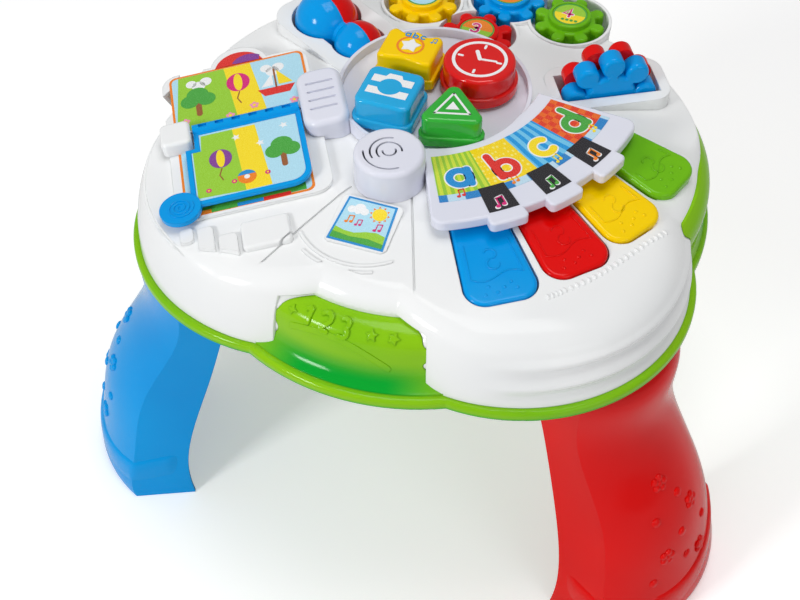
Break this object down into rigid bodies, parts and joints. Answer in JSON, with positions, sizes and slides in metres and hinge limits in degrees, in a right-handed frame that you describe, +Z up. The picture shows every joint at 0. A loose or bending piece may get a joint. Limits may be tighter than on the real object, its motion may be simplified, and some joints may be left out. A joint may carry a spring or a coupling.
{
  "type": "baby activity table",
  "caption": "Three legged activity table for a small child, with piano keys, push buttons, meshing gears, rollers and a page that turns.",
  "frame": {"origin": "centre of the footprint's box, on the floor", "axes": "+Z up, -Y towards the child at the front, +X to the right"},
  "size_m": [0.5716, 0.5119, 0.376],
  "materials": {
    "white_plastic": "smooth gloss moulding",
    "lime_plastic": "smooth gloss moulding",
    "blue_plastic": "smooth gloss moulding",
    "red_plastic": "smooth gloss moulding",
    "yellow_plastic": "smooth gloss moulding",
    "green_plastic": "smooth gloss moulding",
    "lavender_plastic": "smooth gloss moulding, faintly lilac",
    "clear_red": "tinted clear moulding",
    "clear_blue": "tinted clear moulding",
    "clear_green": "tinted clear moulding",
    "lamp_lens": "clear lens",
    "print_film": "printed film",
    "black_plastic": "fine matt moulding",
    "steel": "plain zinc plated steel",
    "rubber_pads": "soft silicone",
    "board_laminate": "solder masked laminate",
    "cell_jacket": "plain cell jacket"
  },
  "bodies": {
    "table": {"top_shell": "white_plastic", "base_shell": "lime_plastic", "front_left_leg": "blue_plastic", "front_right_leg": "red_plastic", "rear_leg": "yellow_plastic", "console_shell": "lavender_plastic", "letter_print": "print_film", "speaker_cover": "lavender_plastic", "loudspeaker": "black_plastic", "front_label": "print_film", "book_print": "print_film", "hinge_block": "white_plastic", "book_arm": "lavender_plastic", "page_hinge_pin": "steel", "key_pivot_pins": "steel", "key_contacts": "board_laminate", "key_pads": "rubber_pads", "circuit_board": "board_laminate", "button_pads": "rubber_pads", "button_lamps": "lamp_lens", "board_screws": "steel", "gear_shafts": "steel", "flower_axle": "steel", "barrel_axle": "steel", "batteries": "cell_jacket", "battery_contacts": "steel", "battery_door": "lime_plastic", "battery_door_screw": "steel", "shell_screws": "steel", "leg_screws": "steel", "switch_housing": "black_plastic"},
    "page": {"page_frame": "blue_plastic", "page_front_print": "print_film", "page_back_print": "print_film"},
    "flower_roller": {"flower_blue_half": "blue_plastic", "flower_red_half": "red_plastic"},
    "barrel_roller": {"barrel_blue_half": "blue_plastic", "barrel_red_half": "red_plastic"},
    "power_switch": {"power_switch": "black_plastic"},
    "blue_key": {"blue_key": "blue_plastic"},
    "red_key": {"red_key": "red_plastic"},
    "yellow_key": {"yellow_key": "yellow_plastic"},
    "green_key": {"green_key": "green_plastic"},
    "star_button": {"star_button": "yellow_plastic"},
    "clock_button": {"clock_button": "clear_red"},
    "camera_button": {"camera_button": "clear_blue"},
    "play_button": {"play_button": "clear_green"},
    "yellow_gear": {"yellow_gear": "yellow_plastic", "yellow_gear_label": "print_film"},
    "blue_gear": {"blue_gear": "blue_plastic", "blue_gear_label": "print_film"},
    "red_gear": {"red_gear": "red_plastic", "red_gear_label": "print_film"},
    "green_gear": {"green_gear": "green_plastic", "green_gear_label": "print_film"}
  },
  "joints": [
    {"name": "page_hinge", "type": "hinge", "parent": "table", "child": "page", "pos_m": [-0.14227, -0.08049, 0.34542], "axis": [-0.8579, -0.4953, -0.1367], "range_deg": [0, 168]},
    {"name": "blue_key_press", "type": "hinge", "parent": "table", "child": "blue_key", "pos_m": [0.05382, -0.11299, 0.33713], "axis": [0.8231, 0.5678, 0], "range_deg": [0, 3], "stiffness_Nm_per_rad": 0.5, "springref_deg": -5.73},
    {"name": "red_key_press", "type": "hinge", "parent": "table", "child": "red_key", "pos_m": [0.08802, -0.08316, 0.33713], "axis": [0.6743, 0.7385, 0], "range_deg": [0, 3], "stiffness_Nm_per_rad": 0.5, "springref_deg": -5.73},
    {"name": "yellow_key_press", "type": "hinge", "parent": "table", "child": "yellow_key", "pos_m": [0.11359, -0.04822, 0.33713], "axis": [0.5, 0.866, 0], "range_deg": [0, 3], "stiffness_Nm_per_rad": 0.5, "springref_deg": -5.73},
    {"name": "green_key_press", "type": "hinge", "parent": "table", "child": "green_key", "pos_m": [0.13148, -0.00727, 0.33713], "axis": [0.2957, 0.9553, 0], "range_deg": [0, 3], "stiffness_Nm_per_rad": 0.5, "springref_deg": -5.73},
    {"name": "star_button_press", "type": "slide", "parent": "table", "child": "star_button", "axis": [0, 0, -1], "range_m": [0, 0.003], "stiffness_N_per_m": 500, "springref_m": -0.002},
    {"name": "clock_button_press", "type": "slide", "parent": "table", "child": "clock_button", "axis": [0, 0, -1], "range_m": [0, 0.003], "stiffness_N_per_m": 500, "springref_m": -0.002},
    {"name": "camera_button_press", "type": "slide", "parent": "table", "child": "camera_button", "axis": [0, 0, -1], "range_m": [0, 0.003], "stiffness_N_per_m": 500, "springref_m": -0.002},
    {"name": "play_button_press", "type": "slide", "parent": "table", "child": "play_button", "axis": [0, 0, -1], "range_m": [0, 0.003], "stiffness_N_per_m": 500, "springref_m": -0.002},
    {"name": "yellow_gear_spin", "type": "hinge", "parent": "table", "child": "yellow_gear", "pos_m": [-0.067, 0.123, 0.33], "axis": [0, 0, 1], "continuous": true},
    {"name": "blue_gear_spin", "type": "hinge", "parent": "table", "child": "blue_gear", "pos_m": [0.003, 0.15, 0.33], "axis": [0, 0, 1], "continuous": true},
    {"name": "red_gear_spin", "type": "hinge", "parent": "table", "child": "red_gear", "pos_m": [-0.008, 0.093, 0.33], "axis": [0, 0, 1], "continuous": true},
    {"name": "green_gear_spin", "type": "hinge", "parent": "table", "child": "green_gear", "pos_m": [0.06, 0.139, 0.33], "axis": [0, 0, 1], "continuous": true},
    {"name": "flower_roll", "type": "hinge", "parent": "table", "child": "flower_roller", "pos_m": [0.112, 0.061, 0.338], "axis": [0.5, -0.866, 0], "continuous": true},
    {"name": "barrel_roll", "type": "hinge", "parent": "table", "child": "barrel_roller", "pos_m": [-0.133, 0.066, 0.338], "axis": [0.866, -0.5, 0], "continuous": true},
    {"name": "power_switch_slide", "type": "slide", "parent": "table", "child": "power_switch", "axis": [0, 1, 0], "range_m": [0, 0.005]}
  ],
  "couplings": [
    {"joint": "red_gear_spin", "follows": "blue_gear_spin", "ratio": -1},
    {"joint": "green_gear_spin", "follows": "blue_gear_spin", "ratio": -1}
  ]
}
